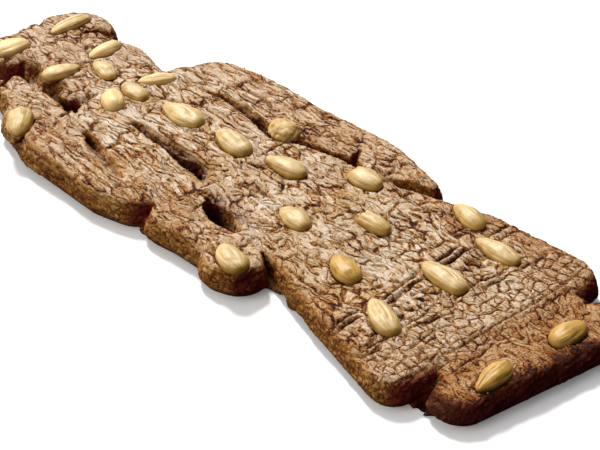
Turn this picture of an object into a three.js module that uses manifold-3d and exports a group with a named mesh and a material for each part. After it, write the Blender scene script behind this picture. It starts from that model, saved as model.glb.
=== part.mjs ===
// Speculoos doll: a moulded spiced biscuit in the shape of a figure in a long robe, with a hat,
// folded arms and a plinth, studded with whole blanched almonds. It lies flat on its back.
// Millimetres. X runs across the figure, Y up the figure towards the hat, Z up from the table.
import * as THREE from "three";
import { mergeVertices } from "three/addons/utils/BufferGeometryUtils.js";
import Module from "manifold-3d";

const wasm = await Module();
wasm.setup();

// Driving dimensions. Y stations are measured from the plinth's lower edge, X from the midline.
const THICKNESS = 13; // dough at the torso
const THINNER = { robe: 0.4, arm: 0, head: 0.2, hat: 0.6, hand: 0.8, plinth: 1.6 };
const EDGE_BULGE_Z = 5.2; // height at which the side wall stands out farthest
const EDGE_TUCK = 2.6; // how far the wall draws in at the table
const EDGE_ROUND = 5.4; // how far the upper edge rounds over
const PLINTH_MID = 15;
const HEM = 28;
const WAIST = 118;
const SHOULDER = 229;
const CHIN = 246;
const BROW = 270;
const HAT_MID = 299;
const HEM_HALF = 52;
const WAIST_HALF = 34;
const NUT_GAP = 0.35; // air between an almond and its pocket
const NUT_SUNK = 0.44; // share of an almond's thickness that is below the dough

// A pillow's upper edge turns over through these angles, as seen in a section of it.
const EDGE_TURNS = [35, 65, 90];
// A hollow's rings from its floor up: share of its radius, share of its depth, lift above the dough.
const HOLLOW_RINGS = [[0.45, 1, 0], [0.85, 0.55, 0], [1.12, 0, 0], [1.3, 0, 2]];
const SPUR_FOOT = 0.6; // a spur's draw-in at the table
const SPUR_LIP = 1; // height of its widest ring
const SPUR_SLOPE = 2; // draw-in of its top
const LOBE_STEPS = 22; // directions round a pillow's outline
const HOLLOW_STEPS = 11;
const NUT_SIDES = 9;
const NUT_RINGS = 6;
const NUT_BLUNTNESS = 0.42; // how bluntly an almond's round end closes
const NUT_SHARPNESS = 0.62; // and its tip

// Colours of the baked dough and of a blanched almond toasted by the oven.
const dough = new THREE.MeshStandardMaterial({ color: 0x9a6b48, roughness: 0.6, metalness: 0 });
const almond = new THREE.MeshStandardMaterial({ color: 0xdcb878, roughness: 0.42, metalness: 0 });

// A closed solid from matching rings of points, lowest first, with a fan over each end.
function loft(rings) {
  const count = rings[0].length;
  const points = rings.flat();
  const faces = [];
  for (let k = 0; k + 1 < rings.length; k++) {
    for (let i = 0; i < count; i++) {
      const a = k * count + i;
      const b = k * count + ((i + 1) % count);
      faces.push(a, b, b + count, a, b + count, a + count);
    }
  }
  for (const [ring, flip] of [[0, true], [rings.length - 1, false]]) {
    const centre = new THREE.Vector3();
    for (const p of rings[ring]) centre.addScaledVector(p, 1 / count);
    points.push(centre);
    for (let i = 0; i < count; i++) {
      const a = ring * count + i;
      const b = ring * count + ((i + 1) % count);
      faces.push(...(flip ? [b, a] : [a, b]), points.length - 1);
    }
  }
  const geometry = new THREE.BufferGeometry().setFromPoints(points);
  geometry.setIndex(faces);
  return geometry;
}

// The disc that reaches farthest in each of some directions, which together outline the discs' hull.
function outermost(discs, steps) {
  return Array.from({ length: steps }, (_, i) => {
    const angle = (2 * Math.PI * (i + 0.5)) / steps;
    const ray = new THREE.Vector2(Math.cos(angle), Math.sin(angle));
    const reach = (d) => d.x * ray.x + d.y * ray.y + d.r;
    const disc = discs.reduce((best, d) => (reach(d) > reach(best) ? d : best));
    return { ray, disc };
  });
}

// A pillow of dough over a row of discs: flat below, bulged at the side and rounded over above.
function lobe(discs, height) {
  const least = Math.min(...discs.map((d) => d.r));
  const round = Math.min(EDGE_ROUND, 0.6 * least);
  const steps = outermost(discs, LOBE_STEPS);
  const ring = (inset, z) =>
    steps.map(({ ray, disc }) =>
      new THREE.Vector3(disc.x + ray.x * (disc.r - inset), disc.y + ray.y * (disc.r - inset), z));
  const rings = [ring(EDGE_TUCK, 0), ring(0, EDGE_BULGE_Z)];
  for (const turn of EDGE_TURNS) {
    const a = THREE.MathUtils.degToRad(turn);
    rings.push(ring(round * (1 - Math.cos(a)), EDGE_BULGE_Z + (height - EDGE_BULGE_Z) * Math.sin(a)));
  }
  return loft(rings);
}

// A boat-shaped hollow pressed into the top, each disc with its own depth below the surface.
function hollow(discs) {
  const steps = outermost(discs, HOLLOW_STEPS);
  const rings = HOLLOW_RINGS.map(([size, share, lift]) =>
    steps.map(({ ray, disc }) =>
      new THREE.Vector3(
        disc.x + ray.x * disc.r * size,
        disc.y + ray.y * disc.r * size,
        THICKNESS - disc.depth * share + lift,
      )));
  return loft(rings);
}

// A thin spur of dough along the table, with plain sloping sides.
function spur(discs, height) {
  const steps = outermost(discs, HOLLOW_STEPS);
  const ring = (inset, z) =>
    steps.map(({ ray, disc }) =>
      new THREE.Vector3(disc.x + ray.x * (disc.r - inset), disc.y + ray.y * (disc.r - inset), z));
  return loft([ring(SPUR_FOOT, 0), ring(0, SPUR_LIP), ring(SPUR_SLOPE, height)]);
}

const disc = (x, y, r, depth) => ({ x, y, r, depth });

// The figure's limbs. Each is a few pillows: a row of discs, and the kind that sets its height.
const limbs = {
  hat: [
    [[disc(-17, HAT_MID + 2, 14), disc(-14, HAT_MID + 3, 13.3)], "hat"],
    [[disc(-4, HAT_MID - 6, 16), disc(-1, HAT_MID + 1, 14.5)], "hat"],
    [[disc(17.6, HAT_MID - 2.6, 16), disc(13.4, HAT_MID + 0.7, 15.5)], "hat"],
  ],
  head: [[[disc(4.4, CHIN + 7, 21.6), disc(4, BROW, 22.5), disc(10, CHIN + 20, 18.5)], "head"]],
  hair: [[[disc(-31.5, BROW + 7, 7.5), disc(-36, CHIN + 2, 10), disc(-33, CHIN - 6, 11)], "arm"]],
  shoulders: [
    [[disc(-20, SHOULDER, 14), disc(22, SHOULDER + 1, 14.5),
      disc(-32, SHOULDER - 20, 16), disc(32, SHOULDER - 20, 16)], "arm"],
  ],
  leftArm: [
    [[disc(-39.5, SHOULDER + 24, 11.7), disc(-40.5, SHOULDER, 15), disc(-39.7, 193, 15.5)], "arm"],
    [[disc(-41.2, 210, 14), disc(-41.5, 188, 12.5), disc(-39.8, 180.4, 11.8), disc(-22, 186, 14)], "arm"],
  ],
  leftHand: [
    [[disc(-39.2, 160.4, 10.4), disc(-37.8, 147.6, 9.8), disc(-25, 172, 14)], "hand"],
    [[disc(-38.4, 150, 9.6), disc(-37.4, 132, 9.6)], "hand"],
    [[disc(-38.6, 124.6, 13), disc(-37.4, 121.4, 12.8)], "hand"],
    [[disc(-34, 127, 8.6), disc(-16, 127, 9)], "hand"],
  ],
  rightArm: [
    [[disc(34.3, SHOULDER - 3, 15.4), disc(38, SHOULDER - 16, 15), disc(42, 190, 13.5)], "arm"],
    [[disc(41, 195, 13.5), disc(45.5, 145, 12.8), disc(45.6, 138, 11.9)], "arm"],
    [[disc(45, 140, 12.3), disc(45.3, 122, 7.4), disc(45.8, 109, 5.8)], "arm"],
  ],
  torso: [
    [[disc(-8, SHOULDER, 22), disc(8, SHOULDER, 22), disc(-10, 160, 22), disc(14, 150, 22)], "arm"],
    [[disc(-4, 150, 24), disc(14, 150, 24), disc(-8, WAIST, 20), disc(17, WAIST, 22)], "arm"],
  ],
  robe: [
    [[disc(-WAIST_HALF + 15.1, WAIST - 2, 10.8), disc(WAIST_HALF - 4, WAIST - 10, 12),
      disc(-HEM_HALF + 24.8, 70, 15), disc(HEM_HALF - 12, 74, 14)], "robe"],
    [[disc(-HEM_HALF + 23, 74, 12.5), disc(HEM_HALF - 10, 78, 12),
      disc(-HEM_HALF + 13.4, HEM + 10, 10.8), disc(HEM_HALF - 8.6, HEM + 9.8, 13.6)], "robe"],
  ],
  plinth: [
    [[disc(-27, PLINTH_MID + 2, 12.4), disc(31, PLINTH_MID - 2, 14.4)], "plinth"],
    [[disc(-17, HEM - 6, 12), disc(28, HEM - 8, 12),
      disc(-17, HEM + 10, 12), disc(28, HEM + 10, 12)], "plinth"],
  ],
  webs: [ // dough left low at the foot of the deepest hollows
    [[disc(-27, CHIN - 4, 9), disc(-12, CHIN + 2, 9), disc(-26, BROW + 6, 7), disc(-14, BROW + 6, 9)], 5.5],
    [[disc(-30, 107, 5.5), disc(-27, 116, 9), disc(-18, 112, 9)], 3.4],
    [[disc(30, 205, 10), disc(34, 140, 8), disc(31, 120, 8)], 5.5],
  ],
};

// The hollows that the mould pressed between the limbs, and the clefts that run out at the side.
const hollows = [
  [disc(-24, 278, 1.5, 5), disc(-23.5, 261, 1.9, 6), disc(-22.5, 246.5, 2.8, 10)], // face and hair
  [disc(-19, 249.5, 2.6, 4), disc(-12, 246.5, 1.6, 2)], // under the cheek
  [disc(16, 292, 0.9, 2), disc(21, 289, 1.4, 3), disc(25, 283.5, 1.3, 4)], // under the hat
  [disc(-31.8, 227, 1.8, 8), disc(-35, 211, 3, 5.5), disc(-38.5, 194, 1.8, 3.5)], // left arm
  [disc(-12.5, 217, 1.6, 3), disc(-12.7, 199, 2.8, 5), disc(-13.2, 178, 4.4, 10)], // front of the robe
  [disc(26.5, 221, 1.5, 3), disc(28.5, 206, 3, 5), disc(27.5, 188, 3.6, 10)], // right arm above
  [disc(25, 171.5, 2.4, 4), disc(31, 164, 2.4, 4)],
  [disc(32, 162, 2.6, 4.5), disc(34.6, 144, 3.6, 8.5), disc(40, 144.5, 1.8, 7)], // right arm below
  [disc(38, 118, 2.2, 7), disc(41.5, 109, 2.3, 9), disc(45.5, 99.5, 2, 11)], // right cuff
  [disc(-29.6, 117, 1.4, 7), disc(-31.5, 110, 1.8, 9.5), disc(-37, 101, 3.4, 18)], // left of the waist
  [disc(-27.8, 145.8, 3.6, 17), disc(-22.8, 146.8, 3.2, 9), disc(-24.5, 136.5, 2.4, 6)], // elbow hole
  [disc(-42, 168.5, 1.8, 7), disc(-52, 169, 4.6, 10.6)], // sleeve and hand
  [disc(-28.5, 27, 1.5, 7), disc(-42, 24.5, 4, 10.4), disc(-54, 22, 6.5, 10.4)], // hem, left
  [disc(38, 20, 1.8, 7), disc(50, 20.5, 3.2, 11), disc(60, 20.5, 5, 18)], // hem, right
];

// Thin spurs of dough that ran out along the table at the foot of the clefts.
const spurs = [
  { discs: [disc(-43, 168.5, 4.5), disc(-38, 167, 5)], height: 3 },
  { discs: [disc(-31.5, 96, 4.2), disc(-28, 92, 4)], height: 3 },
  { discs: [disc(-35, 25, 6), disc(-26, 24, 6)], height: 3.2 },
];

// Almonds: where each lies, its length, width and thickness, the direction of its tip, and its tilt.
const almonds = [
  ["hat_left", -18, 299.7, 20, 11.2, 6.6, 172, 2],
  ["hat_right", 14.4, 299.4, 21, 8.2, 5.8, 184, 0],
  ["eye_left", -12.2, 268.8, 17.2, 9, 5.8, 350, 0],
  ["eye_right", 12, 271.2, 16.4, 8, 5.6, 184, 0],
  ["nose", 2, 258.1, 15.2, 8.6, 5.6, 82, 0],
  ["beard_left", -9.6, 236, 16.2, 10.2, 7.2, 58, 0],
  ["beard_middle", 1, 235.8, 15.6, 8.8, 6, 86, 0],
  ["beard_right", 13.6, 237.4, 16, 7.4, 5.8, 150, 4],
  ["shoulder", -48, 246.6, 19.6, 11.4, 7, 230, 3],
  ["button_top", 4.6, 208.6, 21.6, 11.8, 7.2, 94, 0],
  ["button_middle", 7, 179.6, 20.6, 10.8, 7.2, 84, 0],
  ["button_low", 11.6, 152.8, 19.6, 9.6, 7.2, 98, 0],
  ["cuff_right", 28, 173.4, 15.6, 12.4, 7.8, 70, 3],
  ["sleeve_right", 28.6, 127.9, 19.2, 10.4, 7, 92, 0],
  ["robe_right", 11.3, 103.4, 17.4, 8.8, 6.8, 92, 3],
  ["robe_left", -9, 124, 16.5, 10.1, 6.8, 84, 0],
  ["hand_left", -41.7, 120.8, 17.8, 11, 7.3, 76, 0],
  ["robe_low", -15.2, 88.7, 17, 10, 7, 72, 0],
  ["fringe_left", -24.6, 59, 20.4, 10.2, 7.4, 68, 0],
  ["fringe_middle", 7.8, 61.8, 22.2, 10.2, 7.2, 88, 0],
  ["fringe_right", 33.5, 60.6, 21, 8.5, 7, 92, 0],
  ["robe_side", 41.2, 83, 17.9, 9.6, 7, 78, 0],
  ["foot_right", 18.8, 11.5, 17.2, 9.8, 7.3, 2, 0],
  ["foot_left", -17.9, 11.7, 17.4, 8.8, 7, 188, 0],
];

// An almond about its own centre, length along Y with the tip at +Y, flattened along Z.
function almondGeometry(length, width, thickness) {
  const widest = (NUT_BLUNTNESS - NUT_SHARPNESS) / (NUT_BLUNTNESS + NUT_SHARPNESS);
  const girth = (t) => (1 - t) ** NUT_SHARPNESS * (1 + t) ** NUT_BLUNTNESS;
  const profile = Array.from({ length: NUT_RINGS + 1 }, (_, i) => {
    const t = -Math.cos((Math.PI * i) / NUT_RINGS);
    const radius = i % NUT_RINGS ? ((width / 2) * girth(t)) / girth(widest) : 0;
    return new THREE.Vector2(radius, (t * length) / 2);
  });
  return new THREE.LatheGeometry(profile, NUT_SIDES).scale(1, 1, thickness / width);
}

// Puts a mesh where an almond lies: turned about Z, tilted about its own length, sunk in the dough.
function lay(mesh, [, x, y, , , thickness, turn, tilt], surface) {
  mesh.rotation.order = "ZYX";
  mesh.rotation.set(0, THREE.MathUtils.degToRad(tilt), THREE.MathUtils.degToRad(turn - 90));
  mesh.position.set(x, y, surface + thickness * (0.5 - NUT_SUNK));
  mesh.updateMatrixWorld(true);
  return mesh;
}

function solid(geometry) {
  const bare = geometry.clone();
  bare.deleteAttribute("normal");
  bare.deleteAttribute("uv");
  const merged = mergeVertices(bare, 1e-4);
  return new wasm.Manifold(new wasm.Mesh({
    numProp: 3,
    vertProperties: merged.attributes.position.array,
    triVerts: new Uint32Array(merged.index.array),
  }));
}

function geometryOf(manifold) {
  const { vertProperties, triVerts } = manifold.getMesh();
  const geometry = new THREE.BufferGeometry();
  geometry.setAttribute("position", new THREE.BufferAttribute(vertProperties, 3));
  geometry.setIndex(new THREE.BufferAttribute(triVerts, 1));
  geometry.computeVertexNormals();
  return geometry;
}

const heightOf = (kind) => (typeof kind === "number" ? kind : THICKNESS - THINNER[kind]);

const pillows = Object.values(limbs).flat();

// The dough's height at a place: that of the tallest pillow which covers it.
function surfaceAt(x, y) {
  const covers = (discs) =>
    outermost(discs, LOBE_STEPS).every(({ ray, disc: d }) =>
      (x - d.x) * ray.x + (y - d.y) * ray.y <= d.r);
  return Math.max(...pillows.filter(([discs]) => covers(discs)).map(([, kind]) => heightOf(kind)));
}

function biscuit() {
  let body = pillows
    .map(([discs, kind]) => solid(lobe(discs, heightOf(kind))))
    .reduce((whole, pillow) => whole.add(pillow));
  for (const discs of hollows) body = body.subtract(solid(hollow(discs)));
  for (const { discs, height } of spurs) body = body.add(solid(spur(discs, height)));
  for (const nut of almonds) {
    const [, x, y, length, width, thickness] = nut;
    const pocket = almondGeometry(length + 2 * NUT_GAP, width + 2 * NUT_GAP, thickness + 2 * NUT_GAP);
    const placed = lay(new THREE.Mesh(pocket), nut, surfaceAt(x, y));
    body = body.subtract(solid(pocket.applyMatrix4(placed.matrixWorld)));
  }
  return geometryOf(body);
}

const doll = new THREE.Group();
const cake = new THREE.Mesh(biscuit(), dough);
cake.name = "biscuit";
doll.add(cake);
for (const nut of almonds) {
  const [place, x, y, length, width, thickness] = nut;
  const mesh = new THREE.Mesh(almondGeometry(length, width, thickness), almond);
  mesh.name = `almond_${place}`;
  doll.add(lay(mesh, nut, surfaceAt(x, y)));
}

// The origin is under the middle of the biscuit's box, on the table.
const middle = new THREE.Box3().setFromObject(cake).getCenter(new THREE.Vector3());
doll.position.set(-middle.x, -middle.y, 0);

export default doll;
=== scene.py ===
"""Speculoos doll: the looks of a moulded, crackled spiced biscuit studded with blanched almonds.

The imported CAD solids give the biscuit's outline and thickness, and each almond's place and size. The
biscuit here is the CAD solid turned to a fine skin, with the grooves between its limbs cut again and
relief in millimetres laid over it. Each almond is shaped about its own CAD node.
"""

import math
from itertools import product

import bmesh
import bpy
import numpy as np
from mathutils import Matrix, Vector


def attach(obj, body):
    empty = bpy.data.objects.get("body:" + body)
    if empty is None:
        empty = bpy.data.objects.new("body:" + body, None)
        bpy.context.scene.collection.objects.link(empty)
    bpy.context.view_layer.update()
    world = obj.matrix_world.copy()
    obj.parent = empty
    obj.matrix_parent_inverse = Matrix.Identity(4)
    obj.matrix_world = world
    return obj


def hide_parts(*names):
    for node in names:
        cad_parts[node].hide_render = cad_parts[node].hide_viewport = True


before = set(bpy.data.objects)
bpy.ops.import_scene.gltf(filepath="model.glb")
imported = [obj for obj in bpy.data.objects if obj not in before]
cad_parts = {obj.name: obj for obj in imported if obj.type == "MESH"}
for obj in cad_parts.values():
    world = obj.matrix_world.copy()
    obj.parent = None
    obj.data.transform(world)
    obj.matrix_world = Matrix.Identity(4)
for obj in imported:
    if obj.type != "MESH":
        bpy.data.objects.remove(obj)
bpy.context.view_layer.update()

MM = 0.001
DOUGH = "biscuit"
NUTS = sorted(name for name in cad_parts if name.startswith("almond_"))

# How the almonds sit, as in the part: the share of each one's thickness that is in the dough.
NUT_SUNK = 0.44
SKIN_VOXEL = 0.42 * MM
SKIN_ROUNDING = 30  # smoothing passes that take the facets out of the edges
CUT_ROUNDING = 5  # passes after the grooves are cut
SKIN_TRIANGLES = 194_000


# ---------------------------------------------------------------- small tools

def linear(hex_colour):
    """An sRGB hex value as a linear colour with alpha."""
    parts = [int(hex_colour[i:i + 2], 16) / 255 for i in (1, 3, 5)]
    return tuple(c / 12.92 if c <= 0.04045 else ((c + 0.055) / 1.055) ** 2.4 for c in parts) + (1.0,)


def new_object(name, mesh):
    """An object in the scene, at the origin, round a mesh, a light or a camera."""
    obj = bpy.data.objects.new(name, mesh)
    bpy.context.scene.collection.objects.link(obj)
    return obj


def applied(obj, kind, **settings):
    """Runs one modifier on an object and keeps the result as its mesh."""
    modifier = obj.modifiers.new(kind.lower(), kind)
    for key, value in settings.items():
        setattr(modifier, key, value)
    seen = obj.evaluated_get(bpy.context.evaluated_depsgraph_get())
    mesh = bpy.data.meshes.new_from_object(seen)
    obj.modifiers.clear()
    old, obj.data = obj.data, mesh
    bpy.data.meshes.remove(old)


def node_copy(node):
    """A bmesh copy of a CAD node's mesh with its loose triangles merged."""
    bm = bmesh.new()
    bm.from_mesh(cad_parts[node].data)
    bmesh.ops.remove_doubles(bm, verts=bm.verts, dist=1e-6)
    return bm


def merge_into(whole, extra):
    """Adds one bmesh to another and frees it."""
    spare = bpy.data.meshes.new("spare")
    extra.to_mesh(spare)
    extra.free()
    whole.from_mesh(spare)
    bpy.data.meshes.remove(spare)


def vectors(items, key):
    """One row of three numbers for each item of a mesh."""
    flat = np.empty(len(items) * 3, np.float32)
    items.foreach_get(key, flat)
    return flat.reshape(-1, 3).astype(float)


def coordinates(mesh):
    """The places of a mesh's vertices, in metres."""
    return vectors(mesh.vertices, "co")


def normals(mesh):
    """The way that the surface faces at each vertex."""
    return vectors(mesh.vertex_normals, "vector")


def move_to(mesh, points):
    """Gives a mesh's vertices new places."""
    mesh.vertices.foreach_set("co", points.astype(np.float32).ravel())
    mesh.update()


def write_attribute(mesh, name, values):
    """Stores one number, or one vector, for each vertex."""
    values = np.asarray(values, np.float32)
    kind, key = ("FLOAT", "value") if values.ndim == 1 else ("FLOAT_VECTOR", "vector")
    layer = mesh.attributes.new(name, kind, "POINT")
    layer.data.foreach_set(key, values.ravel())


def read_attribute(mesh, name):
    """Takes an attribute off a mesh and gives its values, one row for each vertex."""
    layer = mesh.attributes[name]
    width = 1 if layer.data_type == "FLOAT" else 3
    flat = np.empty(len(mesh.vertices) * width, np.float32)
    layer.data.foreach_get("value" if width == 1 else "vector", flat)
    mesh.attributes.remove(layer)
    return flat.astype(float) if width == 1 else flat.reshape(-1, 3).astype(float)


def smooth_shade(mesh):
    """Shades a mesh as one smooth surface."""
    mesh.polygons.foreach_set("use_smooth", np.ones(len(mesh.polygons), bool))
    mesh.update()


# ---------------------------------------------------------------- random fields, in millimetres

LATTICE_STEPS = np.array([73856093, 19349663, 83492791])


def lattice_random(cell, seed, count):
    """Random numbers in 0..1 for each lattice cell, the same on every run."""
    steps = LATTICE_STEPS[:cell.shape[1]]
    bits = ((cell.astype(np.int64) * steps).sum(-1) + seed * 7919).astype(np.uint32)
    values = []
    for _ in range(count):
        bits = (bits ^ (bits >> 15)) * np.uint32(2246822519)
        bits = (bits ^ (bits >> 13)) * np.uint32(3266489917)
        bits = bits ^ (bits >> 16)
        values.append(bits / 2**32)
    return np.stack(values, -1)


def lumps(points, size, seed):
    """A smooth random field in -1..1 whose lumps are about size across."""
    p = points / size
    low = np.floor(p)
    t = p - low
    t = t * t * (3 - 2 * t)
    total = np.zeros(len(p))
    for corner in product((0, 1), repeat=p.shape[1]):
        weight = np.prod(np.where(corner, t, 1 - t), axis=1)
        total += weight * lattice_random(low + corner, seed, 1)[:, 0]
    return 2 * total - 1


def rough(points, size, seed, octaves=3):
    """Lumps of several sizes on each other."""
    return sum(lumps(points, size / 2**n, seed + n) / 2**n for n in range(octaves)) / 1.5


def plates(points, size, seed, jitter=0.95):
    """A random net of cracks: distance from the nearest crack, and the tilt and height of the plates."""
    p = points / size
    home = np.floor(p)
    first = np.full(len(p), 1e9)
    second = first.copy()
    centre = np.zeros_like(p)
    other = np.zeros_like(p)
    cell = np.zeros_like(p)
    for step in product((-1, 0, 1), repeat=p.shape[1]):
        at = home + step
        spot = at + 0.5 + jitter * (lattice_random(at, seed, p.shape[1]) - 0.5)
        gap = ((spot - p) ** 2).sum(1)
        nearest = gap < first
        runner_up = ~nearest & (gap < second)
        other[nearest] = centre[nearest]
        second[nearest] = first[nearest]
        centre[nearest] = spot[nearest]
        first[nearest] = gap[nearest]
        cell[nearest] = at[nearest]
        other[runner_up] = spot[runner_up]
        second[runner_up] = gap[runner_up]
    across = np.linalg.norm(other - centre, axis=1)
    border = (second - first) / (2 * across) * np.mean(size)
    own = lattice_random(cell, seed + 50, 4) * 2 - 1
    tilt = ((p - centre) * own[:, :p.shape[1]]).sum(1)
    return border, tilt, own[:, 3]


def step_between(low, high, value):
    """A smooth step from 0 at low to 1 at high; low may be the greater of the two."""
    t = np.clip((value - low) / (high - low), 0, 1)
    return t * t * (3 - 2 * t)


# ---------------------------------------------------------------- the almonds' places

class Nut:
    """Where a CAD almond lies: its middle, its own axes (across, along towards the tip, up), its size."""

    def __init__(self, node):
        bm = node_copy(node)
        points = np.array([v.co[:] for v in bm.verts])
        bm.free()
        spread = points - points.mean(0)
        along = np.linalg.svd(spread, full_matrices=False)[2][0]
        reach = spread @ along
        girth = np.linalg.norm(spread - np.outer(reach, along), axis=1)
        if (girth * (reach - (reach.max() + reach.min()) / 2)).sum() > 0:
            along = -along
        across = np.cross(along, (0, 0, 1))
        across /= np.linalg.norm(across)
        up = np.cross(across, along)
        axes = np.stack([across, along, up])
        local = points @ axes.T
        low, high = local.min(0), local.max(0)
        self.name = node.removeprefix("almond_")
        self.axes = axes
        self.size = high - low
        self.middle = (low + high) / 2 @ axes
        self.surface = self.middle[2] - (0.5 - NUT_SUNK) * self.size[2]

    def beyond(self, points):
        """Metres from the almond's outline, seen from above, and below nought inside it."""
        flat = (points - self.middle) @ self.axes.T
        half = self.size / 2
        ratio = np.hypot(flat[:, 0] / half[0], flat[:, 1] / half[1])
        return (ratio - 1) * half[0]


nuts = {name: Nut(name) for name in NUTS}


# ---------------------------------------------------------------- the biscuit's form

# Hollows that are filled before the grooves are cut: x, y and radius along each, in millimetres.
FILLED = [
    [(-19, 97, 5.2), (-13, 90.5, 3.6)],
    [(-33, 71, 4.5), (-36, 54, 5), (-39.5, 37, 4)],
    [(-13.5, 61, 3.5), (-14, 42, 5), (-14.5, 21, 6.5)],
    [(25.5, 64, 3.5), (27.5, 49, 5), (26.5, 30, 5.5), (24, 14, 4.5)],
    [(30, 7, 5), (31, 5, 5), (33.5, -13, 5.5), (39, -12, 4)],
    [(-22, -9, 3.8), (-22.4, -12, 3.8)],
    [(-25.5, -20.4, 4.4), (-26, -19.4, 4.2)],
]
FILL_FROM, FILL_TO = 2, 12.4  # the heights between which a hollow is filled, in millimetres
PLUG_GROWTH = 1.12  # how much larger than its almond a plug is, so that it meets the pocket's wall

# Grooves between limbs and folds, along their deepest lines: x, y, depth, and how far it is to the edge
# on the left and on the right of the way, in millimetres.
GROOVES = {
    "left_arm": [
        (-32.4, 70, 0.8, 1, 1), (-33, 66.5, 7, 1.8, 1.8), (-34.4, 61, 4.5, 2.6, 3.6),
        (-35.8, 55, 4.1, 3, 5), (-37, 48, 4.1, 3, 5), (-38.8, 41, 3.5, 2.4, 4.6),
        (-40.2, 35, 2.6, 2, 3.4), (-41, 30, 0.4, 1.5, 2)],
    "front": [
        (-14, 63.5, 1, 1, 1.2), (-14.6, 59.5, 4.4, 3.6, 1.6), (-15, 50, 4.9, 4.6, 1.8),
        (-15.4, 39, 5.3, 5.2, 2.2), (-15.8, 31, 5.4, 6.6, 2.2), (-16.6, 24, 5.8, 8, 2.2),
        (-17.4, 18, 5.8, 8, 2), (-18, 14, 5, 6.6, 2), (-18, 11, 1.8, 5, 2), (-17, 8, 0.2, 2, 2)],
    "front_pit": [
        (-14.8, 42, 4, 1.6, 1.6), (-15.4, 36, 6, 3.4, 1.7), (-15.8, 29, 9, 4.6, 2.4),
        (-16.2, 22.5, 11.5, 6, 2.8), (-17, 17.5, 11.5, 5, 2.6), (-18.4, 14, 4, 2, 1.6)],
    "right_arm": [
        (23.4, 65, 0.8, 1, 1), (24, 60, 3, 1.4, 1.4), (24.8, 52, 4.2, 2.6, 1.8),
        (25.4, 45, 5, 3.6, 1.8), (25.2, 38, 5.6, 4.4, 1.8), (24.4, 31, 7.4, 4, 1.8),
        (23.4, 25, 8, 3.6, 1.8), (22, 18, 6.5, 2, 2), (22, 13, 5, 2.4, 2), (25, 9, 4, 3, 2.2),
        (28, 4.5, 4, 2.6, 1.6), (29.4, -2, 4.6, 2.4, 1.6), (30.6, -8, 5, 3, 1.6),
        (32, -13.5, 6.5, 4, 1.6), (33, -18.5, 6.5, 3.4, 1.8), (33.6, -22, 1, 2, 2)],
    "forearm_pit": [(33, -17, 7, 2.5, 2.5), (36.5, -15.5, 6.5, 2.6, 2), (40.5, -13.6, 2.4, 1.4, 1.2)],
    "hair": [
        (-26, 120, 3, 2, 1.2), (-26, 115, 6.5, 2.4, 1.4), (-26, 108, 5.5, 3, 1.4),
        (-26.4, 100, 6.5, 3.4, 1.4), (-26.6, 93, 10, 4, 1.4), (-26.6, 87, 10, 3, 1.6),
        (-27, 82.5, 1, 1, 1)],
    "cheek": [
        (-26, 86.5, 10, 3.4, 1.8), (-22.5, 87.6, 6.5, 6.4, 1.8), (-17.5, 89, 3.2, 4.4, 1.8),
        (-11.5, 88.5, 1, 1.4, 1.6)],
    "brim": [
        (-36, 121.5, 12, 2, 2), (-30, 124.5, 11, 2, 2.4), (-24.5, 128, 9, 1.8, 2.2),
        (-18, 131.6, 2.4, 1.2, 1.4)],
    "under_hat": [
        (12.6, 134.8, 0.8, 1, 1), (16, 133.4, 3.2, 1.8, 1.2), (19.5, 131, 3.4, 2.2, 1.6),
        (22.4, 127, 1, 1.8, 1.8)],
    "elbow_pit": [
        (-27, -5, 10, 6, 3.5), (-28, -10, 12.4, 7.6, 4.6), (-28.6, -15, 12.4, 7, 4),
        (-29, -19.5, 10, 4, 2.4), (-29, -23.6, 3, 1.8, 1.4)],
    "elbow_slope": [
        (-24, -4, 3, 10, 2), (-24, -12, 4, 11, 3), (-24, -19, 4.4, 10, 3), (-24, -26, 2.4, 8, 2)],
    "hem_end": [
        (-62, -131, 12, 2.4, 4), (-45, -131.2, 12, 2.4, 4), (-37, -131.8, 11, 2.4, 3),
        (-31, -132.6, 3, 1.4, 1.4)],
    "sleeve_fold": [
        (31, 60, 0.3, 1, 1), (31.8, 50, 1.6, 1.4, 1.2), (31.6, 40, 1.7, 1.6, 1.2),
        (30.6, 31, 0.3, 1, 1)],
    "sleeve_fold_2": [
        (34.5, 59, 0.3, 1.5, 1), (36.5, 49, 2.2, 2, 1.2), (37, 39, 2.4, 2.2, 1.2),
        (35.5, 30, 1.4, 2, 1.2), (33, 22, 0.2, 1, 1)],
    "sleeve_fold_3": [
        (40, 57, 0.2, 1, 1), (41.5, 47, 1.4, 1.6, 1), (41, 37, 1.1, 1.6, 1), (40, 30, 0.1, 1, 1)],
    "robe_fold": [
        (-5, 0.5, 0.6, 1, 1), (-5.8, -5, 1.8, 1.6, 1.2), (-7.2, -14, 2.2, 1.6, 1.2),
        (-7.8, -21, 0.8, 1, 1)],
    "cuff": [(33, -36, 0.6, 1, 1), (36.5, -39, 2.8, 2, 1.4), (38.5, -44, 3.4, 3, 1.4)],
}


def pad(stations):
    """A plain block of dough over a row of discs."""
    bm = bmesh.new()
    for x, y, radius in stations:
        for z in (FILL_FROM, FILL_TO):
            place = Matrix.Translation(Vector((x, y, z)) * MM)
            bmesh.ops.create_circle(bm, segments=16, radius=radius * MM, matrix=place)
    bmesh.ops.convex_hull(bm, input=bm.verts)
    return bm


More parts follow.
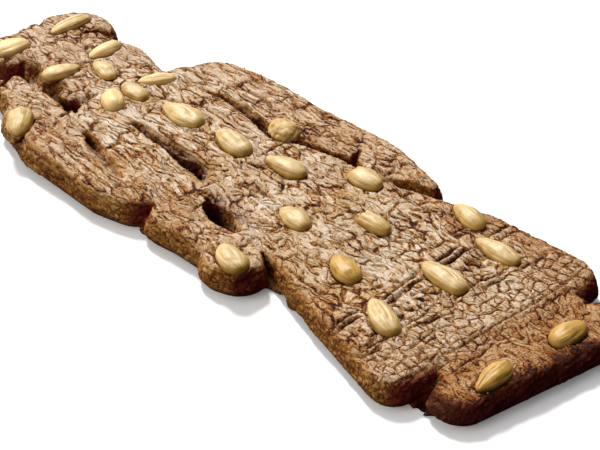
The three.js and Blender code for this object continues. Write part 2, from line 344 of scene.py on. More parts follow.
def pocket_plug(name, nut):
    """The lower part of an almond, a little larger, so that it closes its pocket in the dough."""
    plug = node_copy(name)
    middle = Vector(nut.middle)
    grow = Matrix.Translation(middle) @ Matrix.Scale(PLUG_GROWTH, 4) @ Matrix.Translation(-middle)
    bmesh.ops.transform(plug, matrix=grow, verts=plug.verts)
    cut = bmesh.ops.bisect_plane(
        plug, geom=plug.verts[:] + plug.edges[:] + plug.faces[:], clear_outer=True,
        plane_co=(0, 0, nut.surface - 0.1 * MM), plane_no=(0, 0, 1))
    rim = [e for e in cut["geom_cut"] if isinstance(e, bmesh.types.BMEdge)]
    bmesh.ops.contextual_create(plug, geom=rim)
    return plug


def whole_dough():
    """The CAD dough with the almonds' pockets and the hollows between the limbs filled."""
    whole = node_copy(DOUGH)
    for name, nut in nuts.items():
        merge_into(whole, pocket_plug(name, nut))
    for stations in FILLED:
        merge_into(whole, pad(stations))
    mesh = bpy.data.meshes.new("spiced_biscuit")
    whole.to_mesh(mesh)
    whole.free()
    return mesh


def wandering(mm):
    """Sideways shifts that keep every edge from running straight."""
    wide = np.stack([rough(mm, 7, 10), rough(mm, 7, 20)], -1)
    fine = np.stack([rough(mm, 2.2, 40), rough(mm, 2.2, 44)], -1)
    return wide, fine


# A groove's side is gentle where its run is more than this share of the depth, and steep elsewhere.
GENTLE_RUN = 0.62
GENTLE_POWER, STEEP_POWER = 1.2, 2.4
SAMPLES = 12  # points along a groove for each of its stations


def groove_depth(flat, stations):
    """How deep a groove is cut at each place, in millimetres."""
    stations = np.array(stations, float)
    steps = np.linspace(0, len(stations) - 1, SAMPLES * len(stations))
    path = np.stack([np.interp(steps, np.arange(len(stations)), column) for column in stations.T], -1)
    reach = stations[:, 3:].max()
    low, high = stations[:, :2].min(0) - reach, stations[:, :2].max(0) + reach
    near = np.flatnonzero(((flat > low) & (flat < high)).all(1))
    depth = np.zeros(len(flat))
    if len(near) == 0:
        return depth
    away = flat[near, None] - path[None, :, :2]
    gap = np.linalg.norm(away, axis=2)
    at = gap.argmin(1)
    nearest = np.arange(len(near))
    way = np.gradient(path[:, :2], axis=0)[at]
    aside = away[nearest, at]
    left = way[:, 0] * aside[:, 1] - way[:, 1] * aside[:, 0] > 0
    run = np.where(left, path[at, 3], path[at, 4])
    share = np.clip(gap[nearest, at] / run, 0, 1)
    gentle = run > GENTLE_RUN * path[at, 2]
    depth[near] = path[at, 2] * (1 - share ** np.where(gentle, GENTLE_POWER, STEEP_POWER))
    return depth


def all_grooves(mm):
    """The depth of the deepest groove at each place."""
    wide, fine = wandering(mm)
    flat = mm[:, :2] + 0.6 * wide + 0.6 * fine
    return np.max([groove_depth(flat, stations) for stations in GROOVES.values()], axis=0)


LOW_GROUND = 7  # ground lower than this counts as bare, in millimetres
MARGIN = 20  # cells of bare ground, a millimetre wide, round the dough
AROUND = 4.5  # millimetres over which the ground is averaged


def enclosure(mm):
    """How much of the ground close by is dough: a half beside a straight edge, nearly all in a gap."""
    high = mm[:, 2] > LOW_GROUND
    corner = mm[:, :2].min(0) - MARGIN
    cell = np.floor(mm[:, :2] - corner).astype(int)
    ground = np.zeros(cell.max(0) + MARGIN)
    ground[tuple(cell[high].T)] = 1
    reach = np.arange(-10, 11)
    weight = np.exp(-(reach / AROUND) ** 2)
    for axis in (0, 1):
        ground = sum(w * np.roll(ground, r, axis) for r, w in zip(reach, weight / weight.sum()))
    return ground[tuple(cell.T)]


RIM_DROP = 4.0  # how far the dough's rim is rounded down, in millimetres
RIM_POWER = 1.6
FULL_HEIGHT = 12.5  # a cut as deep as this goes nearly to the tray, in millimetres
LEAST_HEIGHT = 0.04  # the share of the dough's height that stays under it


def cut_grooves(mesh):
    """Rounds the dough's rim and presses the grooves into its top."""
    place = coordinates(mesh)
    mm = place / MM
    rounded = RIM_DROP * step_between(0.92, 0.4, enclosure(mm)) ** RIM_POWER
    place[:, 2] *= np.clip(1 - (all_grooves(mm) + rounded) / FULL_HEIGHT, LEAST_HEIGHT, 1)
    move_to(mesh, place)


# ---------------------------------------------------------------- the biscuit's skin

# Strokes of the mould and cracks of their own: x and y at each end, half width and depth, in millimetres.
# A depth below nought is a ridge.
STROKES = [
    (21, -59, 21.3, -77, 0.7, 0.9), (-31, -50, -32, -82, 0.7, 0.7), (13, -46, 20, -82, 0.45, 0.5),
    (8, -52, 9, -80, 0.4, 0.45), (2, -42, 1, -80, 0.4, 0.4), (-22, -40, -24, -62, 0.5, 0.5),
    (31, -50, 35, -78, 0.5, 0.5), (-29, -126.5, 48, -126, 0.55, 0.7), (-28, -134, -3, -132, 0.7, 0.8),
    (-3, -132, 34, -135, 0.5, 0.45), (7, 9, 24, 9, 0.6, 0.9), (9, 64, 16, 48, 0.6, 0.9),
    (12, 60, 24, 54, 0.5, 0.6), (2, 9, 4, 0, 0.8, 1.2), (0, -14, 5, -10, 0.8, 1.1),
    (-11, 63, 7, 62.5, 0.5, 0.7), (-50, 74, -51.5, 36, 0.7, 0.8), (-46.5, 70, -48, 30, 0.6, 0.7),
    (-43.5, 76, -43.5, 44, 0.6, 0.7), (-40, 66, -42.5, 46, 0.5, 0.6), (-30, 60, -31.5, 26, 0.5, 0.5),
    (-27, 64, -28, 30, 0.5, 0.6), (-24, 60, -23.5, 22, 0.45, 0.5), (-21, 62, -20.6, 26, 0.5, 0.6),
    (-33, 30, -32.4, 8, 0.6, 0.7), (-24, 7, -14, 6, 0.6, 0.7), (-36, -2, -22, -1.6, 0.5, 0.7),
    (46, 60, 48.5, 26, 0.5, 0.7), (38, 24, 37, 2, 0.6, 0.8), (39, 35, 49, 34, 0.6, 0.8),
    (33, 26, 33.5, 6, 0.7, 0.9), (44, 62, 44, 46, 0.6, 0.7), (44, 28, 48, 10, 0.5, 0.6),
    (-34, 84, -27, 85.5, 0.8, 1.3), (-44, 90, -41, 78, 0.8, 1.0), (-17.8, 42, -20.6, 16, 0.5, -0.9),
]
# The ornament across the robe: double lines with a ridge between, and short curls. Depths as above.
ORNAMENT = [
    (-50, -93, -45, -89.5, 0.7, 1.2), (-46, -89.3, -28, -89, 0.75, 1.5),
    (-41, -92, -31, -92.2, 0.75, 1.4), (-18.5, -90.2, -12, -89, 0.8, 1.6), (-13, -89, -4, -87, 0.7, 1.4),
    (-5, -87.3, 4, -86, 0.7, 1.2), (-18.5, -93, -11, -92.4, 0.8, 1.6), (-12, -92, 2.5, -89.6, 0.7, 1.2),
    (11.5, -86.2, 25, -84.6, 0.8, 1.5), (12, -88.8, 27, -88.4, 0.8, 1.4),
    (36.5, -86.8, 50, -87, 0.8, 1.4), (37, -91, 50, -91.4, 0.8, 1.3),
    (-43, -105.4, -27, -107.6, 0.7, 1.3), (-45, -108.2, -36, -109, 0.8, 1.4),
    (-27, -107, -10, -106.4, 0.7, 1.2), (-19, -110, -9, -110.6, 0.7, 1.3),
    (1, -106.6, 16, -104, 0.7, 1.4), (15, -104, 27, -107.2, 0.75, 1.5), (11, -109, 24, -109.6, 0.7, 1.1),
    (28, -110, 47, -108.6, 0.7, 0.9), (-40, -90.6, -31, -90.6, 0.8, -0.6),
    (-17, -91.6, 1, -88.6, 0.9, -0.6), (12, -87.4, 27, -86.6, 0.9, -0.6),
    (-38, -107.2, -12, -108.4, 0.9, -0.5), (12, -106.4, 26, -108.4, 1.1, -0.6),
    (37, -89, 48, -89.2, 1.0, -0.5), (-19, -94, -15.5, -99, 0.8, 1.1),
    (-16.5, -99, -13.5, -102.4, 0.9, 1.4), (-12.5, -95, -13.5, -99, 0.7, 1.0),
    (-9.5, -96, -6, -101, 1.0, 1.8), (-9, -94, -5.5, -95, 0.7, 0.9), (-4.5, -95, -1, -100.5, 0.9, 1.6),
    (-11.5, -100, -10, -105.6, 0.8, 1.3), (-2, -100, 0, -104, 0.7, 1.0),
    (-20.5, -100, -19, -104.5, 0.7, 1.1), (15, -93.5, 19.5, -99.5, 0.9, 1.7),
    (20, -92.5, 24, -99.5, 0.9, 1.6), (14, -96, 15.5, -100, 0.6, 0.8), (24.5, -91, 26.5, -97, 0.8, 1.2),
    (12, -99, 21, -102, 0.6, 0.8), (-31, -95, -33, -103, 0.7, 0.9), (-38, -94, -39.5, -101, 0.6, 0.9),
    (-43.5, -94, -44.5, -103, 0.6, 0.8), (-35.5, -96, -36, -103, 0.5, 0.7),
    (39, -94, 39.5, -103, 0.7, 1.0), (43, -93, 44.5, -104, 0.6, 0.8), (-37, -83, -39, -88.6, 0.7, 1.3),
    (-28.6, -82, -28, -88, 0.7, 1.1), (-16, -83, -17.5, -89, 0.7, 1.1), (-8, -82, -4.6, -88, 0.8, 1.3),
    (-12.5, -84, -13.5, -87, 0.5, 0.8), (-39.5, -111, -35.6, -117.4, 0.8, 1.3),
    (-42.6, -110, -41, -120, 0.6, 0.9), (-33, -116.2, -13, -115.4, 0.5, 0.9),
    (-26.4, -109.4, -25, -116, 0.45, 0.7), (-26.4, -116, -28, -126, 0.6, 0.9),
    (-20, -115.6, -19.4, -125, 0.6, 0.9), (-35.4, -117, -37, -126.5, 0.7, 1.0),
    (-14, -110.5, -13.4, -116, 0.45, 0.7), (-9.4, -109, -9.6, -117, 0.5, 0.8),
    (-50, -125.6, -30, -126.8, 0.7, 0.8), (5, -108, 5.5, -122, 0.4, 0.5),
    (24.5, -109, 25, -125, 0.5, 0.6),
]


def stroke_depth(flat, strokes):
    """The deepest stroke at each place, and the highest ridge, in millimetres."""
    pressed = np.zeros(len(flat))
    raised = np.zeros(len(flat))
    for *ends, half, depth in strokes:
        a, b = np.array(ends, float).reshape(2, 2)
        t = np.clip(((flat - a) @ (b - a)) / ((b - a) @ (b - a)), 0, 1)
        away = np.linalg.norm(flat - a - t[:, None] * (b - a), axis=1)
        taper = np.sin(np.pi * (0.08 + 0.84 * t)) ** 0.6
        amount = abs(depth) * taper * np.exp(-(away / half) ** 2)
        if depth > 0:
            pressed = np.maximum(pressed, amount)
        else:
            raised = np.maximum(raised, amount)
    return pressed, raised


# Plates of the crust, and the flakes it peels in, in millimetres across and along the dough's grain.
PLATE_SIZE = np.array((4.6, 8.0, 5.0))
FLAKE_SIZE = np.array((4.4, 13.0, 5.0))
SHEET_SIZE = np.array((9.0, 17.0))
GRANULE_SIZE = np.array((2.4, 2.4, 1.8))
CRACK, TEAR = 0.35, 0.5  # half the width of a crack, and of a tear between sheets
LAYERS = 7  # steps between the lowest and highest flakes
LAYER = 0.4  # millimetres in a step
# Near the foot of the robe and below, the grain is drawn together, so that the plates are nearly square.
SQUARES_FROM, SQUARES_TO, SQUARED = -103.0, -160.0, 0.6
# From the waist up to the collar it is drawn out into long pleats.
PLEATED = 0.4


def grain_map(mm, wide, fine):
    """The dough's own coordinates, in millimetres, that its plates and creases follow."""
    skin = mm.copy()
    y = mm[:, 1]
    chest = step_between(14, 24, y) * step_between(80, 70, y)
    calm = 1 - 0.25 * chest - 0.65 * step_between(-104, -112, y)
    skin[:, :2] += (1.8 * wide + 0.7 * fine) * calm[:, None]
    skin[:, 1] -= PLEATED * np.clip(y - 14, 0, 64)
    skin[:, 1] -= SQUARED * np.clip(SQUARES_FROM - y, 0, SQUARES_FROM - SQUARES_TO)
    return skin


def plate_pattern(tree, skin):
    """Voronoi cells on the dough's grain: the outputs for their edge distance, colour and middle."""
    scaled = add(tree, "ShaderNodeVectorMath", {0: skin, 1: tuple(1 / PLATE_SIZE)}, operation="MULTIPLY")
    cells = {"Vector": scaled, "Scale": 1.0, "Randomness": 0.76}
    edge = add(tree, CELLS, cells, feature="DISTANCE_TO_EDGE", voronoi_dimensions="2D")
    own = add(tree, CELLS, cells, out="Color", feature="F1", voronoi_dimensions="2D")
    middle = add(tree, CELLS, cells, out="Position", feature="F1", voronoi_dimensions="2D")
    return edge, own, middle


def flake_pattern(tree, skin):
    """Layers of crust, drawn out along the grain: how many steps up, with a fraction between steps."""
    scaled = add(tree, "ShaderNodeVectorMath", {0: skin, 1: tuple(1 / FLAKE_SIZE)}, operation="MULTIPLY")
    flow = add(tree, NOISE, {"Vector": scaled, "Scale": 1.0, "Detail": 1.0, "Roughness": 0.5})
    return add(tree, MATHS, {0: flow, 1: float(LAYERS)}, operation="MULTIPLY")


def measure_plates(biscuit):
    """Gives each vertex its plate and its flake, from the same patterns that the material shows."""
    tree = bpy.data.node_groups.new("crust_plates", "GeometryNodeTree")
    for way in ("INPUT", "OUTPUT"):
        tree.interface.new_socket("Geometry", in_out=way, socket_type="NodeSocketGeometry")
    mesh = add(tree, "NodeGroupInput")
    skin = add(tree, "GeometryNodeInputNamedAttribute", {"Name": "skin"}, data_type="FLOAT_VECTOR")
    edge, own, middle = plate_pattern(tree, skin)
    found = {"edge": edge, "own": own, "middle": middle, "layer": flake_pattern(tree, skin)}
    for name, value in found.items():
        kind = "FLOAT" if name in ("edge", "layer") else "FLOAT_VECTOR"
        stored = {"Geometry": mesh, "Name": f"plate_{name}", "Value": value}
        mesh = add(tree, "GeometryNodeStoreNamedAttribute", stored, data_type=kind, domain="POINT")
    add(tree, "NodeGroupOutput", {0: mesh})
    applied(biscuit, "NODES", node_group=tree)
    bpy.data.node_groups.remove(tree)


def crackle(mm, skin, plate):
    """The crust of the top: its height, how open its plates are, and millimetres to the nearest tear."""
    y = mm[:, 1]
    blocks = step_between(-104, -110, y)  # near the foot of the robe the plates are flat, even blocks
    edge, own, middle, layer = plate
    own = own * 2 - 1
    tilt = ((skin / PLATE_SIZE - middle) * own)[:, :2].sum(1)
    opened = step_between(-0.5, 0.3, lumps(mm, 9, 60) + 0.45 * blocks - 0.6 * step_between(-128, -133, y))
    crack = np.exp(-(edge * PLATE_SIZE[0] / CRACK) ** 2) * opened

    # Flakes that lie on each other like shallow steps.
    step = np.floor(layer)
    flakes = LAYER * (step + step_between(0, 0.3, layer - step) - LAYERS / 2) * (1 - 0.6 * blocks)

    # Torn edges of bigger sheets of crust.
    sheet_gap, sheet_tilt, _ = plates(skin[:, :2], SHEET_SIZE, 7)
    torn = step_between(-0.2, 0.5, lumps(mm, 8, 61)) * (1 - 0.7 * blocks)
    tear = np.exp(-(sheet_gap / TEAR) ** 2) * torn

    height = (0.3 - 0.2 * blocks) * tilt + 0.12 * own[:, 2] - 0.3 * crack + flakes
    height = height + 0.35 * sheet_tilt - 0.8 * tear
    return height, opened, 0.8 * sheet_gap + 1.1 * (1 - torn)


def granules(mm):
    """The side walls' rough bake: its height, the distance from its cracks, and each granule's tone."""
    bent = mm + 0.8 * np.stack([lumps(mm, 3, 100 + axis) for axis in range(3)], -1)
    gap, tilt, own = plates(bent, GRANULE_SIZE, 9)
    crack = np.exp(-(gap / CRACK) ** 2)
    height = 0.3 * tilt + 0.12 * own - 0.3 * crack + 0.4 * rough(mm, 4, 74)
    return height, gap + 0.35, 0.24 * own - 0.06


# Patches painted paler, or browner where negative: x, y and reach in millimetres, and how much.
TONE_PATCHES = [
    (53, -101, 13, -0.6), (-38, 44, 9, -0.4), (42, -26, 9, 0.45), (14, -67, 12, 0.32), (-42, 2, 12, -0.3),
    (46, 38, 14, 0.3), (13, -150, 14, -0.35), (-29, -78, 14, -0.26), (10, 113, 11, 0.3), (-9, 18, 7, -0.3),
]


def pressed_lines(mm, flat):
    """What the mould and the ornament press into the top, and what they raise, in millimetres."""
    pressed, raised = stroke_depth(flat, STROKES)
    worn = 0.6 + 0.4 * step_between(-0.5, 0.3, lumps(mm, 9, 80))
    ornament, ridges = stroke_depth(flat, ORNAMENT)
    return np.maximum(pressed, worn * ornament), np.maximum(raised, ridges)


FAR_OFF = 9.0  # millimetres from an almond, past which its lip is not felt
LIP_AT, LIP_WIDTH = 1.1, 0.9  # where the lip round an almond is highest, and half its width


def almond_lips(place, mm):
    """The height of the dough drawn up round each almond, and how far outside the nearest one it is."""
    rim = np.full(len(mm), FAR_OFF)
    for nut in nuts.values():
        close = np.abs(place[:, 1] - nut.middle[1]) < 16 * MM
        rim[close] = np.minimum(rim[close], nut.beyond(place[close]) / MM)
    lip = np.exp(-((rim - LIP_AT) / LIP_WIDTH) ** 2) * (0.6 + 0.6 * lumps(mm, 5, 90))
    snug = np.exp(-(np.maximum(rim, 0) / 0.45) ** 2)
    return 0.35 * lip - 0.7 * snug, rim


def clefts(mm):
    """How deep the grooves are, where their sides slope, and where they are too deep for light."""
    x, y, z = mm.T
    cut = all_grooves(mm)

    # The slopes of the left sleeve and of its elbow catch the light.
    sleeve = step_between(61, 56, y) * step_between(10, 25, y) * step_between(-26, -31, x)
    elbow = step_between(-15, -11, 0.76 * x - 0.65 * y) * step_between(-6, -10, x)
    elbow *= step_between(3, -2, y) * step_between(-34, -28, y)
    sloping = np.maximum(sleeve, 0.9 * elbow)

    # The hole behind the elbow goes through to the tray.
    hole = step_between(10, 6, np.hypot(x + 28, y + 8)) * step_between(10.5, 7, z)
    abyss = np.maximum(step_between(5, 9, cut), hole) * (1 - 0.8 * elbow)
    return cut, sloping, abyss


def bake_colours_and_painted_light(mm, up, around, tone, pressed):
    """The bake's colours with painted light and shade: how pale, golden and deep in a cleft each place is.
    """
    x, y, z = mm.T
    cut, sloping, abyss = clefts(mm)
    # Painted light on the lit slopes of the left sleeve and elbow: paler, more golden, less dark in the
    # cleft.
    lit_slope = sloping * (cut > 0.3)
    foot_rim = step_between(-126, -134, y) * step_between(0.96, 0.76, around + 0.12 * lumps(mm, 6, 96))
    golden = (
        0.3 + 0.4 * lumps(mm, 18, 92) + 0.6 * step_between(80, 110, y) + 0.45 * step_between(-118, -134, y)
        + 0.7 * step_between(24, 40, np.abs(x)) + 0.2 * step_between(-100, -112, y)
        + 0.8 * step_between(0.85, 0.6, around) + 0.7 * lit_slope)

    # Painted shade darkens the hole and the deepest clefts, and painted light makes the lit slopes paler;
    # the head is paler, and the foot end is browner, most of all its rim, and the robe a little.
    clouds = 0.18 * lumps(mm, 9, 94) + 0.18 * lumps(mm, 20, 95)
    baked = 0.28 + tone + clouds - 0.9 * abyss + 0.35 * lit_slope
    baked += 0.12 * step_between(84, 100, y) - 0.42 * step_between(-122, -134, y) - 0.7 * foot_rim
    baked -= 0.08 * step_between(-20, -35, y) * step_between(-95, -80, y)
    for middle_x, middle_y, reach, paler in TONE_PATCHES:
        baked += paler * np.exp(-(np.hypot(x - middle_x, y - middle_y) / reach) ** 2)

    # Painted shade, redder and darker near the tray between the limbs, in the grooves and in the deeper
    # strokes.
    shaded = 0.35 + 0.65 * step_between(0.35, -0.1, up[:, 1] + 0.45 * up[:, 0])
    enclosed = 0.7 * step_between(6.5, 0.5, z) + step_between(0.62, 0.85, around)
    between_limbs = np.clip(enclosed, 0, 1) * step_between(11, 5, z)
    in_groove = step_between(0.4, 3.4, cut) * shaded * (1 - 0.75 * sloping)
    in_stroke = 0.85 * step_between(0.4, 1.1, pressed)
    underside = step_between(-0.9, -0.6, up[:, 2])
    return {
        "tone": baked,
        "golden": np.clip(golden, 0, 1),
        "deep": np.max([between_limbs, in_groove, in_stroke], axis=0) * underside,
    }, abyss


def relief(place, up, skin, plate):
    """Millimetres to move the skin outwards, and what the colours follow."""
    mm = place / MM
    y, z = mm[:, 1], mm[:, 2]
    top = step_between(0.4, 0.88, up[:, 2])
    wall = 1 - top

    # The whole form: dough that rose unevenly.
    height = 0.5 * wall + 0.7 * lumps(mm, 24, 1) + (0.65 - 0.3 * wall) * rough(mm, 11, 2)

    # Crust above, a little less open near the foot of the robe, and granules at the sides.
    wide, fine = wandering(mm)
    crust, opened, gap = crackle(mm, skin, plate)
    around = enclosure(mm)
    crust *= top * (0.45 + 0.55 * step_between(0.6, 0.85, around))
    opened *= top * (1 - 0.08 * step_between(-104, -110, y))
    tone = np.zeros(len(mm))
    beside = (wall > 0) & (up[:, 2] > -0.6)
    side_height, side_gap, side_tone = granules(mm[beside])
    crust[beside] += wall[beside] * side_height
    gap[beside] += wall[beside] * (side_gap - gap[beside])
    tone[beside] += wall[beside] * (side_tone - tone[beside])
    height = height + crust + (0.03 + 0.1 * wall) * rough(mm, 1.2, 70)

    # Strokes and ornament, and the dough's lip round each almond.
    pressed, raised = pressed_lines(mm, mm[:, :2] + 0.7 * wide + 0.4 * fine)
    lip, rim = almond_lips(place, mm)
    height = height + (raised - pressed) * top
    height = height + top * lip

    # The foot end is ragged, and the underside lay flat on the tray.
    height = height + 0.9 * step_between(-128, -134, y) * rough(mm, 6, 98)
    height = height * step_between(0.2, 2.0, z) * step_between(-0.6, -0.2, up[:, 2])

    colours, abyss = bake_colours_and_painted_light(mm, up, around, tone, pressed)
    # Dark in the cracks, with painted shade along the pressed strokes and in a thin ring round each almond,
    # and painted light on the ridges.
    crevice = np.min([gap, 1 - 1.1 * pressed, 0.05 + 1.6 * np.abs(rim)], axis=0)
    colours["gap"] = np.clip(crevice + 0.4 * raised, 0, 2)
    colours["wall"] = wall
    # Painted shade on the walls that face the foot end, away from the key light.
    colours["painted_shade_footward"] = wall * step_between(0.3, 0.8, -up[:, 1]) * (1 - abyss)
    colours["opened"] = opened
    return height, colours


CRUMBS = 420
CRUMB_RADIUS = (0.22, 0.42)  # millimetres, of all but a few


def make_crumbs(biscuit):
    """Loose grains of dough in the clefts and round the almonds."""
    mesh = biscuit.data
    place, up = coordinates(mesh), normals(mesh)
    mm = place / MM
    gap = np.empty(len(mm), np.float32)
    mesh.attributes["gap"].data.foreach_get("value", gap)
    cut = all_grooves(mm)
    likely = 0.05 + 1.2 * np.clip(0.7 - gap, 0, 1) + 2.5 * step_between(1, 3, cut)
    likely *= step_between(0.55, 0.9, up[:, 2]) * (mm[:, 2] > 2)
    rng = np.random.default_rng(5)
    chosen = rng.choice(len(mm), CRUMBS, replace=False, p=likely / likely.sum())
    whole = bmesh.new()
    for number in chosen:
        size = rng.uniform(*CRUMB_RADIUS) * (1 + rng.random() ** 4) * MM
        grain = bmesh.new()
        bmesh.ops.create_icosphere(grain, subdivisions=1, radius=size)
        for vertex in grain.verts:
            vertex.co *= rng.uniform(0.7, 1.25)
        turn = Matrix.Rotation(rng.uniform(0, 2 * np.pi), 4, Vector(rng.normal(size=3)))
        flat = Matrix.Diagonal((1, rng.uniform(0.7, 1.4), 0.8, 1))
        spot = Matrix.Translation(place[number] + up[number] * 0.4 * size)
        bmesh.ops.transform(grain, matrix=spot @ turn @ flat, verts=grain.verts)
        merge_into(whole, grain)
    loose = bpy.data.meshes.new("dough_crumbs")
    whole.to_mesh(loose)
    whole.free()
    points = coordinates(loose) / MM
    write_attribute(loose, "skin", points)
    same_all_over = {"gap": 1, "opened": 0, "wall": 0, "golden": 0.9, "deep": 0, "painted_shade_footward": 0}
    for name, value in same_all_over.items():
        write_attribute(loose, name, np.full(len(points), value))
    write_attribute(loose, "tone", 0.15 + 0.4 * lumps(points, 4, 130))
    return new_object("dough_crumbs", loose)


def even_skin(obj, passes):
    """Turns an object to one closed skin of small faces and rounds its edges."""
    applied(obj, "REMESH", mode="VOXEL", voxel_size=SKIN_VOXEL)
    applied(obj, "SMOOTH", factor=0.5, iterations=passes)


def make_biscuit():
    """The whole biscuit: grooves first, then the crust's relief and what its colours follow."""
    skin = new_object("spiced_biscuit", whole_dough())
    even_skin(skin, SKIN_ROUNDING)
    cut_grooves(skin.data)
    even_skin(skin, CUT_ROUNDING)
    mm = coordinates(skin.data) / MM
    grain = grain_map(mm, *wandering(mm))
    write_attribute(skin.data, "skin", grain)
    measure_plates(skin)
    mesh = skin.data
    place, up = coordinates(mesh), normals(mesh)
    plate = [read_attribute(mesh, f"plate_{name}") for name in ("edge", "own", "middle", "layer")]
    height, shade = relief(place, up, grain, plate)
    moved = place + up * height[:, None] * MM
    moved[:, 2] = np.maximum(moved[:, 2], 0)
    move_to(mesh, moved)
    for name, values in shade.items():
        write_attribute(mesh, name, values)
    triangles = 2 * len(mesh.polygons)
    applied(skin, "DECIMATE", ratio=min(1.0, SKIN_TRIANGLES / triangles))
    smooth_shade(skin.data)
    return skin


# ---------------------------------------------------------------- almonds

# An almond's outline runs in to its tip by one power and to its other end by the other.
SHARP, BLUNT = 0.6, 0.42
RIDGES = 7  # low ridges round an almond, lengthwise


def almond_form(points, nut, seed):
    """Unit sphere points drawn out to a blanched almond in the nut's own frame."""
    across, along, up = points.T
    around = np.arctan2(up, across)
    widest = (BLUNT - SHARP) / (BLUNT + SHARP)
    inner = np.clip(along, -0.9999, 0.9999)
    girth = (1 - inner) ** SHARP * (1 + inner) ** BLUNT
    girth /= (1 - widest) ** SHARP * (1 + widest) ** BLUNT
    rng = np.random.default_rng(seed)
    turn, bend, twist = rng.uniform(0, 2 * np.pi), rng.uniform(-0.05, 0.05), rng.uniform(-0.5, 0.5)
    ridge = np.abs(np.sin(RIDGES / 2 * (around + 0.35 * twist * along) + turn))
    girth = girth * (1 + 0.06 * (ridge - 0.6) * (1 - along**2))
    half = nut.size / 2
    local = np.stack([
        half[0] * (np.cos(around) * girth + bend * (1 - along**2)),
        half[1] * along,
        half[2] * np.sin(around) * girth * np.where(up > 0, 0.97, 1.0),
    ], -1)
    dents = lumps(local / MM, 5, seed) * 0.42 + lumps(local / MM, 2.4, seed + 1) * 0.14
    outward = np.stack([np.cos(around), 0.2 * along, np.sin(around)], -1)
    return local + outward * (dents * MM)[:, None]


# Furrows along an almond: how far to the side and from where to where, as shares of its half size.
CREASED = {
    "hat_right": [(0.0, -0.7, 0.8)],
    "fringe_middle": [(0.32, -0.62, 0.8), (0.12, -0.5, 0.85)],
    "fringe_right": [(0.2, -0.7, 0.75)],
    "fringe_left": [(0.15, -0.45, 0.35), (-0.15, -0.1, 0.7)],
    "foot_left": [(0.1, -0.3, 0.9)],
    "robe_side": [(0.2, -0.3, 0.7)],
    "button_top": [(0.1, -0.6, 0.4)],
}
# Almonds with a broken tip, and from which share of the half length; and one that dough has run over.
CHIPPED = {"sleeve_right": 0.42, "robe_right": 0.5}
COATED = {"cuff_right"}
# Almonds painted browner, partly toast and partly painted shade; below nought, paler as painted light.
NUT_TOAST_AND_SHADE = {
    "foot_left": 1.0, "foot_right": 1.0, "robe_low": 1.0, "robe_right": 0.3, "robe_side": 0.3,
    "shoulder": 0.3, "robe_left": 0.1, "hand_left": 0.2, "hat_left": -0.3, "hat_right": -0.3,
    "eye_right": -0.2, "beard_left": -0.3, "beard_right": -0.2,
}
# Painted light on almonds whose flanks lie in shade, and how much.
NUT_PAINTED_LIGHT = {
    "hat_left": 0.55, "hat_right": 0.4, "eye_right": 0.45, "eye_left": 0.2, "beard_left": 0.5,
    "beard_right": 0.45, "button_top": 0.12, "nose": 0.1,
}


def make_almond(name, nut, seed):
    """One almond about its CAD node: its form, its furrows or break, and what its colours follow."""
    bm = bmesh.new()
    bmesh.ops.create_icosphere(bm, subdivisions=5, radius=1)
    mesh = bpy.data.meshes.new(f"toasted_{name}")
    bm.to_mesh(mesh)
    bm.free()
    unit = coordinates(mesh)
    local = almond_form(unit, nut, seed)
    half = nut.size / 2
    across, along, up = unit.T
    hollow = np.zeros(len(unit))
    for aside, low, high in CREASED.get(nut.name, []):
        line = local[:, 0] / half[0] - aside * (1 - along**2) - 0.1 * np.sin(3 * along + 9 * aside)
        part = step_between(low - 0.15, low + 0.1, along) * step_between(high + 0.15, high - 0.1, along)
        furrow = 0.4 * np.exp(-(line / 0.08) ** 2) * part * (up > 0)
        hollow = np.maximum(hollow, 0.8 * furrow)
        local[:, 2] -= furrow * MM
    if nut.name in CHIPPED:
        cut = CHIPPED[nut.name]
        rags = 0.12 * lumps(local / MM, 1.6, seed + 5)
        broken = step_between(cut - 0.04, cut + 0.06, along + rags) * (up > -0.2)
        hollow = broken
        local[:, 2] -= broken * (2.0 + 0.9 * lumps(local / MM, 1.3, seed + 6)) * MM
    if nut.name in COATED:
        bumps = np.abs(lumps(local / MM, 2.6, seed + 7)) * 1.1 + 0.35 * lumps(local / MM, 1.1, seed + 8)
        local += (local / np.linalg.norm(local, axis=1)[:, None]) * ((bumps - 0.4) * MM)[:, None]
        hollow = np.abs(bumps)
    move_to(mesh, local @ nut.axes + nut.middle)
    write_attribute(mesh, "along", along)
    write_attribute(mesh, "around", np.arctan2(up, across) / np.pi)
    write_attribute(mesh, "broken", hollow)
    facing = normals(mesh)
    rise = (coordinates(mesh)[:, 2] - nut.surface) / MM
    # Toast, and painted shade on flanks facing down, towards the foot end, and within 1.6 mm of the dough.
    toast_and_shade = 0.85 - 1.1 * facing[:, 2] - 0.6 * facing[:, 1] + 0.9 * step_between(1.6, 0, rise)
    write_attribute(mesh, "toast_and_shade", np.clip(toast_and_shade + NUT_TOAST_AND_SHADE.get(nut.name, 0), -0.5, 1.2))
    # Painted light on the shaded almonds.
    write_attribute(mesh, "pale", np.full(len(unit), NUT_PAINTED_LIGHT.get(nut.name, 0)))
    smooth_shade(mesh)
    return new_object(f"toasted_{name}", mesh)


# ---------------------------------------------------------------- materials

def add(tree, kind, inputs=None, out=0, stops=None, **settings):
    """Adds a node with its settings and links, and gives one of its outputs.

    An input is a value or another node's output; stops are a ramp's positions and colours.
    """
    node = tree.nodes.new(kind)
    for key, value in settings.items():
        setattr(node, key, value)
    for key, value in (inputs or {}).items():
        if isinstance(value, bpy.types.NodeSocket):
            tree.links.new(value, node.inputs[key])
        else:
            node.inputs[key].default_value = value
    for number, (position, colour) in enumerate(stops or []):
        if number > 1:
            node.color_ramp.elements.new(1.0)
        node.color_ramp.elements[number].position = position
        node.color_ramp.elements[number].color = linear(colour)
    return node.outputs[out] if node.outputs else None


